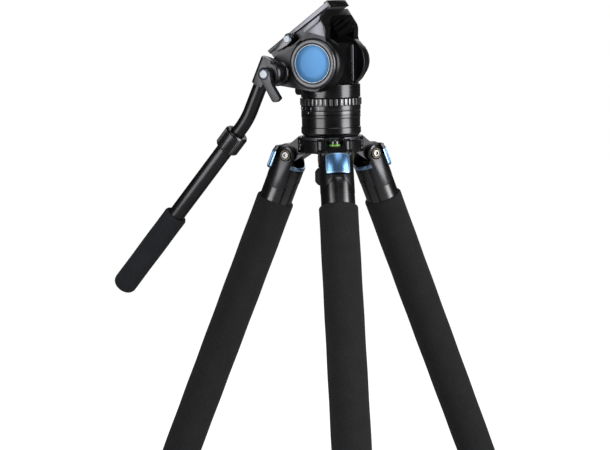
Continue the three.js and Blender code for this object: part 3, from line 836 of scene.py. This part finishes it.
def make_base():
    steps = [
        (0, 19.8), (27.3, 19.8), (29.7, 22.8), (29.7, 28.3), (29.0, 28.8), (29.1, 37.9),
        (29.5, 38.4),
    ]
    rise = [(29.5, 44.8), (8.4, 44.8), (8.4, 28.7), (0, 28.7)]
    groove = [(29.5, 41.0), (29.2, 41.3), (29.5, 41.6)]
    body = lathe([*soften([*steps, (29.5, 40.6)], 0.4), *groove, *rise], 144)
    finish_piece(body, "head_base_shell", BASE, BLACK, "spider", "head_base")
    dot = turn(lathe(soften(rod(0.62, 0, 0.12), 0.03), 24), 90, "Y")
    shift(dot, BASE_RADIUS, 0, 43.2)
    finish_piece(turn(dot, INDEX_AZIMUTH, "Z"), "index_dot", BASE, WHITE, "spider")


def dial_teeth():
    """Ring of rounded bars round the drag dial."""
    bar = bevel(block(29.0, 30.6, -1.35, 1.35, 50.4, 57.1), 0.4, 2)
    bm = bmesh.new()
    for i in range(DIAL_TEETH):
        one = bmesh.new()
        one.from_mesh(bar.data)
        one.transform(Matrix.Rotation(math.tau * i / DIAL_TEETH, 4, "Z"))
        spare = bpy.data.meshes.new("tooth")
        one.to_mesh(spare)
        one.free()
        bm.from_mesh(spare)
        bpy.data.meshes.remove(spare)
    bpy.data.objects.remove(bar)
    return to_object("teeth", bm)


def make_drag_ring():
    low = [(8.7, 45.4), (29.6, 45.4), (29.7, 45.8), (29.7, 50.0)]
    body = lathe([*low, (29.2, 50.3), (29.2, 57.0), (28.6, 57.4), (8.7, 57.4), (8.7, 45.4)], 144)
    finish_piece(body, "drag_dial", BASE, BLACK, "pan_drag_ring", "pan_drag_ring")
    # The teeth's lighter grey is painted highlight.
    finish_piece(dial_teeth(), "drag_teeth", BASE, TEETH_PAINTED_HIGHLIGHT, "pan_drag_ring")
    for word, azimuth in (("1", -152), ("2", -137), ("3", -120), ("0", -167)):
        mark = digit(word, azimuth, 29.72, 46.6, 3.2)
        finish_piece(mark, f"dial_mark_{word}", BASE, WHITE, "pan_drag_ring")


def pan_casting():
    drum = lathe(
        soften([(0, 57.9), (29.2, 57.9), (29.5, 58.3), (29.5, 70.6), (28.6, 71.5), (0, 71.5)], 0.4),
        144,
    )
    crown = soften(
        [(15, 62), (15, 109.5), (11.5, 112.3), (-11.5, 112.3), (-15, 109.5), (-15, 62)], 2
    )
    tower = side_prism(crown, -22.3, 22.3)
    join(drum, tower)
    for side in (1, -1):
        saddle = side_lathe(rod(28.1, 23.7, 40), side, segments=96)
        cut(drum, shift(saddle, 0, 0, TILT_HEIGHT))
    cut(drum, lathe(rod(8.2, 50, 66), 48))
    bore = side_lathe(rod(AXLE_BORE, -30, 30), segments=48)
    cut(drum, shift(bore, 0, 0, TILT_HEIGHT))
    return bevel(drum, 0.5, 3)


def make_pan():
    finish_piece(pan_casting(), "pan_drum", PAN, BLACK, "pan", "pan_body")
    # Lighter strip on the tower's far corner: a painted highlight of that corner.
    edge = bevel(block(14.2, 15.6, 20.4, 22.5, 72.5, 109), 0.55, 4)
    finish_piece(edge, "tower_edge_painted_highlight", PAN, PALE, "pan")
    axle = lathe(soften(rod(7.9, 29, 65.6), 0.5), 48)
    finish_piece(axle, "pan_spindle", BASE, STEEL, "spider", "pan_axle")
    profile = soften(
        [(0, 30), (2.5, 30), (2.5, 31), (4.9, 31), (4.9, 36.8), (4, 37.7), (0, 37.7)], 0.4
    )
    ribs = ribbed(16, 0.5, 32, 37)
    knob = lathe(profile, 128, ribs=beyond(ribs, 4.5))
    turn(knob, -90, "Y", (0, 0, PAN_LOCK_HEIGHT))
    finish_piece(knob, "pan_lock", PAN, RUBBER, "pan_lock_knob", "pan_lock_knob")


# ---- tilting cradle ----
def cheek(side, radius, reach):
    inner = [(0, CHEEK_INNER), (radius - 0.6, CHEEK_INNER), (radius, CHEEK_INNER + 0.6)]
    crown = soften(
        [(radius, reach - 4.5), (radius - 1.4, reach - 1.6), (radius - 3.2, reach), (0, reach)], 1.2
    )
    return side_lathe([*inner, (radius, reach - 6), *crown], side, segments=120)


def hull(*pieces):
    """Convex shape round the corners of other shapes."""
    bm = bmesh.new()
    for piece in pieces:
        for vertex in piece.data.vertices:
            bm.verts.new(vertex.co)
        bpy.data.objects.remove(piece)
    bmesh.ops.convex_hull(bm, input=bm.verts)
    bmesh.ops.delete(bm, geom=[v for v in bm.verts if not v.link_faces], context="VERTS")
    return to_object("hull", bm)


def across(points, x0, x1):
    """Outline in local YZ, from x0 to x1."""
    return turn(turn(prism(points, x0, x1), 90, "X"), 90, "Z")


def front_opening():
    """Wavy mouth between the side walls."""
    half = [
        (0, 31.4), (7, 31.3), (11, 30.6), (16, 31.0), (20.5, 30.4), (23, 27.6), (22.6, 24.5),
        (24.6, 21), (25.3, 16), (25.3, 6),
    ]
    mouth = half + [(-y, z) for y, z in reversed(half[1:])]
    return across(soften(mouth, 1.5, True, 3), 3, 60)


def cradle():
    y_wall = CHEEK_OUTER - 0.1
    body = block(-38.4, 36.4, -24.5, 24.5, 33.1, 38.2)
    for side in (1, -1):
        strut = [(10, 18), (14, WALL_TOP), (-30, WALL_TOP), (-22, 12)]
        join(body, side_slab(strut, side, 24.4, 29.9))
        rail = [(-22, 22), (14, 25), (14, 34), (-36, 34)]
        join(body, side_slab(rail, side, 22.8, 24.6))
    join(body, cheek(-1, 27.5, 38), cheek(1, 26.2, 38))
    for side in (1, -1):
        front = soften(
            [(23.6, 9), (24.6, 12.5), (27, 15.5), (29.6, 19), (31, 23), (31, 27), (30.2, WALL_TOP)],
            1.5,
        )
        wall = [(10, 18), *front, (8, WALL_TOP - 0.5), (-2, 22)]
        join(body, side_slab(wall, side, 27.5, y_wall))
        inner = [(12, 20), (26, 17), (30.5, 21), (30.5, WALL_TOP + 3), (14, WALL_TOP + 3)]
        join(body, side_slab(inner, side, 21.5, 28))
        around = arc(ROSETTE[0], ROSETTE[1], 13, 100, 245, 24) + arc(0, 0, 27, 225, 245, 4)
        arm_outline = around + [(10, -20), (16, 16), (-14, 29), (-32, 29)]
        join(body, side_slab(arm_outline, side, 31.2, 38.4))
    top = block(29.5, 36.4, -24.5, 24.5, 31, 38.2)
    low = block(27.5, 31, -y_wall, y_wall, 25, WALL_TOP)
    join(body, hull(top, low))
    cut(body, front_opening())
    cut(body, side_lathe(rod(25.2, 36, 60), -1, segments=96))
    bores = side_lathe(rod(AXLE_BORE, -34, 34), segments=48)
    return clean(bevel(cut(body, bores), 0.55, 3))


def side_panel(points, y):
    """Flat bright panel on the near side of the cradle."""
    return bevel(side_prism(soften(points, 0.6, True, 2), -y - 0.3, -y + 0.6), 0.15, 2)


def make_cradle():
    casting = finish_piece(
        cradle(), "cradle_casting", TILT, CAST, "tilt", "tilt_frame"
    )

    def in_mouth(centre):
        return 2.9 < centre.x < 29 and abs(centre.y) < 25.6 and 5 < centre.z < 32

    # Faces inside the mouth get near-black painted shade.
    shade_inside(casting, TILT, PAINTED_SHADE, in_mouth)
    band = soften(
        [(18.9, 36.3), (24.7, 36.3), (24.7, 39.4), (23.2, 41.1), (20.3, 41.1), (18.9, 40.3)], 0.9,
        True,
    )
    finish_piece(
        side_lathe([*band, band[0]], -1, segments=144), "side_bezel", TILT, RING, "tilt",
        "side_ring",
    )
    rim = soften([(18.25, 38.5), (18.8, 38.5), (18.8, 40.3), (18.25, 40.3)], 0.15, True, 2)
    finish_piece(
        side_lathe([*rim, rim[0]], -1, segments=144), "disc_rim", TILT, RIM, "tilt"
    )
    disc = side_lathe(
        [(0, 36.4), (18.0, 36.4), (18.0, 39.4), (17.7, 39.6), (12, 40.1), (6, 40.4), (0, 40.5)], -1,
        segments=144,
    )
    finish_piece(disc, "disc_face", TILT, SKY, "tilt", "side_disc")
    axle = side_lathe(rod(6, -33.7, 33.7), segments=48)
    finish_piece(axle, "tilt_spindle", TILT, STEEL, "tilt", "tilt_axle")
    upper = [(1.6, 38.0), (26.3, 38.0), (26.8, 33.4), (4.2, 33.4)]
    lower = [(12.6, 28.7), (30.6, 29.1), (30.2, 25), (26.4, 15.6), (24.9, 14.6)]
    finish_piece(side_panel(upper, 24.5), "panel_upper", TILT, PALE, "tilt")
    finish_piece(
        side_panel(lower, CHEEK_OUTER - 0.1), "panel_lower", TILT, PALE, "tilt"
    )
    ribs = ribbed(30, 0.9, 40, 49)
    knob = soften(
        [
            (0, 39), (20, 39), (20.8, 39.8), (20.8, 48.8), (19.3, 50.4), (14, 50.4), (13, 49.6),
            (0, 49.6),
        ],
        0.5,
    )
    dial = side_lathe(knob, segments=240, ribs=beyond(ribs, 20.3))
    finish_piece(dial, "tilt_dial", TILT, RUBBER, "tilt_drag_knob", "tilt_drag_knob")


def rosette(side):
    profile = soften(
        [
            (3.6, 38.7), (13.1, 38.7), (13.1, 40.4), (12.5, 40.8), (13.1, 41.2), (13.1, 42.3),
            (12, 43.5), (3.6, 43.5),
        ],
        0.3, True, 2,
    )
    return shift(side_lathe([*profile, profile[0]], side, segments=120), ROSETTE[0], 0, ROSETTE[1])


def make_rosettes():
    finish_piece(
        rosette(-1), "rosette_near_ring", TILT, BLACK, "tilt", "rosette_near"
    )
    finish_piece(rosette(1), "rosette_far_ring", TILT, BLACK, "tilt", "rosette_far")
    cap = side_lathe(
        soften([(0, 43.2), (7.8, 43.2), (7.8, 46.4), (6.6, 47.5), (0, 47.5)], 0.5), segments=64
    )
    finish_piece(
        shift(cap, ROSETTE[0], 0, ROSETTE[1]), "rosette_far_cap", TILT, RUBBER, "tilt",
    )


def make_plate():
    rear, front = PLATE_ENDS
    section = soften(
        [(-18.5, 38.6), (18.5, 38.6), (21.4, 40.4), (21.4, 43.1), (-21.4, 43.1), (-21.4, 40.4)],
        0.4, True, 2,
    )
    plate = across(section, rear, front)
    cut(plate, block(-15, -1, -5.2, 5.2, 30, 50), block(-17, 1, -9.3, 9.3, 30, 40.8))
    for x0, x1 in ((3, 36), (-37, -19)):
        cut(plate, block(x0, x1, -19, 19, 42.2, 50))
    bevel(plate, 0.25, 2)
    ramp_start, ramp_rise = 36.6, 2.4  # the top slopes up towards the nose
    for vertex in plate.data.vertices:
        rise = max(0, vertex.co.x - ramp_start) / (front - ramp_start)
        if vertex.co.z > 42.5:
            vertex.co.z += ramp_rise * rise
    finish_piece(plate, "quick_plate", TILT, PALE, "camera_plate", "camera_plate")
    nose = block(ramp_start, front - 0.2, -21.3, 21.3, 42.6, 46.2)
    nose = join(nose, block(front - 0.4, front + 1.2, -21.2, 21.2, 38.8, 46.2))
    nose = cut(nose, block(front + 0.2, front + 3, -10, 10, 37, 41.4))
    finish_piece(bevel(nose, 0.5, 3), "plate_nose", TILT, BLACK, "camera_plate")
    peg = lathe(soften([(0, 43), (2.2, 43), (2.2, 46.2), (1.8, 46.5), (0, 46.5)], 0.3), 40)
    finish_piece(shift(peg, -39.1, 15, 0), "plate_peg", TILT, RUBBER, "camera_plate")
    for word, x0, x1 in (("front", 3.3, 35.7), ("rear", -36.7, -19.3)):
        pad = block(x0, x1, -18.7, 18.7, 42.4, 43.3)
        for i in range(int((x1 - x0) / 2)):
            x = x0 + 0.6 + 2 * i
            join(pad, block(x, x + 0.9, -18.2, 18.2, 43.2, 43.65))
        finish_piece(
            pad, f"pad_{word}", TILT, RUBBER, "camera_plate", f"plate_pad_{word}"
        )
    threads = [(3.1 - (0.35 if i % 2 else 0), 41 + i * 0.62) for i in range(12)]
    screw = lathe(
        [(0, 38.8), (7.9, 38.8), (7.9, 40.3), (3.1, 40.5), *threads, (2.4, 48.7), (0, 48.7)], 48
    )
    finish_piece(
        shift(
            screw, SCREW_X, 0, 0
        ), "camera_bolt", TILT, STEEL, "camera_screw", "camera_screw"
    )


def lever_cap(radius, low, high):
    """Rim and pale dot on the face of a lever's hub."""
    edge = [(radius, low), (radius, high - 0.3), (radius - 0.3, high)]
    rim = side_lathe(soften([(0, low), *edge, (0, high)], 0.2), -1)
    inset, sunk, face = radius - 0.45, high - 0.5, high + 0.15
    dot = side_lathe(soften(rod(inset, sunk, face), 0.1), -1)
    return rim, dot


def make_plate_lever():
    place = TILT @ Matrix.Translation(CLAMP_PIVOT)
    hub = side_lathe(
        soften([(0, 24.8), (5.9, 24.8), (5.9, 32.2), (4.6, 33.7), (0, 33.7)], 0.6), -1, segments=64
    )
    blade = soften(
        [(-3.6, 3.4), (4, 3.6), (4.2, -3.6), (-3, -4.9), (-17.2, -3.6), (-18, -0.4)], 1.6, True
    )
    lever = join(hub, side_prism(blade, -36.7, -31.4))
    finish_piece(
        bevel(lever, 0.6, 3), "clamp_lever", place, BLACK, "plate_lever",
        "plate_lever",
    )
    rim, dot = lever_cap(3.6, 36.4, 37.3)
    finish_piece(rim, "clamp_lever_rim", place, BLUE, "plate_lever")
    finish_piece(dot, "clamp_lever_dot", place, WHITE, "plate_lever")
    press = side_lathe(
        soften([(0, 20.9), (2.5, 20.9), (2.5, 27), (2.1, 27.3), (0, 27.3)], 0.2), segments=32
    )
    finish_piece(
        shift(press, *BUTTON_PLACE), "release_button", TILT, RUBBER, "safety_button",
        "safety_button",
    )


# ---- pan bar ----
BEND = Vector((BAR_BEND[0], -BAR_SIDE, BAR_BEND[1]))


def bar_direction(lean):
    return Vector((-math.sin(math.radians(lean)), 0, -math.cos(math.radians(lean))))


def clamp_centre():
    local = TILT @ Vector((ROSETTE[0], 0, ROSETTE[1]))
    return UPRIGHT.inverted() @ local


def upper_point(distance):
    return BEND + (distance - BAR_UPPER) * bar_direction(BAR_LEAN[0])


def on_bar(profile, **options):
    """Turned piece along the lower bar; distances in the profile run down from the bend."""
    made = lathe([(r, -d) for r, d in profile], **options)
    return turn(made, BAR_LEAN[1], "Y", BEND)


def make_clamp():
    centre = clamp_centre()
    face = soften([(0, 44), (12.5, 44), (12.5, 56.6), (10.6, 59.5), (0, 59.5)], 1.2)
    disc = shift(side_lathe(face, -1, segments=96), centre.x, 0, centre.z)
    top = upper_point(0)
    socket = turn(
        lathe(soften(rod(9.3, -20, 8), 1), 72), BAR_LEAN[0], "Y", top
    )
    socket = common(socket, block(-100, 100, -59.5, -44, -100, 100))
    body = join(disc, socket)
    cut(body, turn(lathe(rod(7.4, -60, -9), 72), BAR_LEAN[0], "Y", top))
    hole = side_lathe(rod(3.3, 0, 80), -1, segments=32)
    cut(body, shift(hole, centre.x, 0, centre.z))
    finish_piece(
        bevel(body, 0.7, 3), "bar_clamp_body", UPRIGHT, SATIN, "pan_bar", "bar_clamp"
    )
    place = UPRIGHT @ Matrix.Translation((centre.x, 0, centre.z))
    hub = side_lathe(
        soften(
            [(0, 32), (2.9, 32), (2.9, 60), (6.5, 60), (6.5, 67.8), (5.2, 69.3), (0, 69.3)], 0.6
        ),
        -1, segments=64,
    )
    blade = soften(
        [(-6.2, 2), (6, 2.6), (8.4, -10), (17.2, -23.6), (12.4, -27.4), (9, -26.6), (-2.4, -7)],
        1.6, True,
    )
    lever = bevel(join(hub, side_prism(blade, -68.9, -62.3)), 0.8, 3)
    finish_piece(
        lever, "bar_lever", place, SATIN, "bar_clamp_lever", "bar_clamp_lever"
    )
    rim, dot = lever_cap(4, 68.4, 69.4)
    finish_piece(rim, "bar_lever_rim", place, BLUE, "bar_clamp_lever")
    finish_piece(dot, "bar_lever_dot", place, WHITE, "bar_clamp_lever")


def make_bar():
    lower = bar_direction(BAR_LEAN[1])
    top, reach, bottom = 9.4, 11, 205  # ends of the rod, and reach of its bend each way
    straight = [upper_point(top + (BAR_UPPER - reach - top) * i / 4) for i in range(5)]
    path = straight + quadratic(straight[-1], BEND, BEND + reach * lower, 12)
    path += [BEND + (reach + (bottom - reach) * i / 6) * lower for i in range(1, 7)]
    finish_piece(
        sweep(path, BAR_RADIUS, 48), "bar_rod", UPRIGHT, SATIN, "pan_bar",
        "pan_bar_inner",
    )
    section = soften([(7.45, 30.1), (8.4, 30.1), (8.4, 221.9), (7.45, 221.9)], 0.2, True, 2)
    outer = on_bar([*section, section[0]], segments=72)
    finish_piece(outer, "bar_tube", UPRIGHT, SATIN, "bar_extension", "pan_bar_outer")
    ribs = ribbed(40, 0.35, -36, -19)
    rim = soften(
        [
            (7.5, 17.1), (10.9, 17.1), (12.3, 19), (12.3, 36.2), (10.9, 37.9), (8.8, 37.9),
            (8.8, 29.8), (7.5, 29.8),
        ],
        0.4, True,
    )
    mid = on_bar([*rim, rim[0]], segments=240, ribs=beyond(ribs, 12.2))
    finish_piece(mid, "twist_collar", UPRIGHT, BLACK, "bar_collar", "bar_collar")
    levels = [(12.05 + 0.08 * math.sin(d * 0.12), d) for d in range(131, 219, 3)]
    start = soften([(8.8, 128.1), (11.2, 128.1), (12.05, 130)], 0.8)
    dome = arc(223, 0, 7.9, 90, 0, 10)
    end = [(r + 4.2, d) for d, r in dome] + [(0, 230.9), (0, 222.4), (8.8, 222.4), (8.8, 128.1)]
    grip = on_bar([*start, *levels, *end], segments=96)
    sleeve = finish_piece(
        grip, "grip_sleeve", UPRIGHT, GRIP, "bar_extension", "bar_grip"
    )


# ---- floor and light ----
def make_floor():
    bm = bmesh.new()
    bmesh.ops.create_circle(bm, cap_ends=True, radius=30, segments=64)
    floor = to_object("floor", bm)
    floor.location.z = -0.0005  # just clear of the feet
    material, nodes, links, shader = new_material("pale_floor")
    cloudy = noise(nodes, links, 2, 2)
    links.new(
        ramp(nodes, links, cloudy, [(0.3, (0.30,) * 3), (0.7, (0.33,) * 3)]),
        shader.inputs["Base Color"],
    )
    shader.inputs["Roughness"].default_value = 0.9
    shader.inputs["Emission Color"].default_value = (1, 1, 1, 1)
    seen = nodes.new("ShaderNodeLightPath").outputs["Is Camera Ray"]
    links.new(spread(nodes, links, seen, 0.05, 1.0), shader.inputs["Emission Strength"])
    floor.data.materials.append(material)


def make_lights(camera_place):
    world = bpy.data.worlds.new("world")
    bpy.context.scene.world = world
    world.use_nodes = True
    nodes, links = world.node_tree.nodes, world.node_tree.links
    background = nodes["Background"]
    seen = nodes.new("ShaderNodeLightPath").outputs["Is Camera Ray"]
    links.new(spread(nodes, links, seen, 0.03, 1.0), background.inputs["Strength"])
    background.inputs["Color"].default_value = (1, 1, 1, 1)
    target = base_origin + Vector((0, 0, 0.02))
    ahead = camera_place - target
    bearing = math.atan2(ahead.y, ahead.x)
    # name, angle from the camera, distance, height, width, tallness, watts
    boxes = (
        ("softbox_left", -43, 1.9, 0.25, 1.1, 1.6, 21),
        ("softbox_right", 61, 1.9, 0.25, 1.1, 1.6, 34),
        ("top_panel", 20, 0.9, 1.6, 1.0, 1.0, 6),
        ("back_panel", 175, 2.2, 0.8, 1.5, 1.5, 9),
    )
    for name, angle, away, height, width, tall, power in boxes:
        data = bpy.data.lights.new(name, "AREA")
        data.shape = "RECTANGLE"
        data.size, data.size_y, data.energy = width, tall, power
        light = bpy.data.objects.new(name, data)
        turned_by = bearing + math.radians(angle)
        spot = target + Vector((away * math.cos(turned_by), away * math.sin(turned_by), height))
        light.location = spot
        light.rotation_mode = "QUATERNION"
        light.rotation_quaternion = (target - spot).to_track_quat("-Z", "Y")
        bpy.context.scene.collection.objects.link(light)


camera_place = make_camera()
make_floor()
make_lights(camera_place)
bpy.context.scene.view_settings.view_transform = "Standard"
for leg_name in LEGS:
    make_leg(leg_name)
make_spider()
make_base()
make_drag_ring()
make_pan()
make_cradle()
make_rosettes()
make_plate()
make_plate_lever()
make_clamp()
make_bar()

bpy.context.view_layer.update()
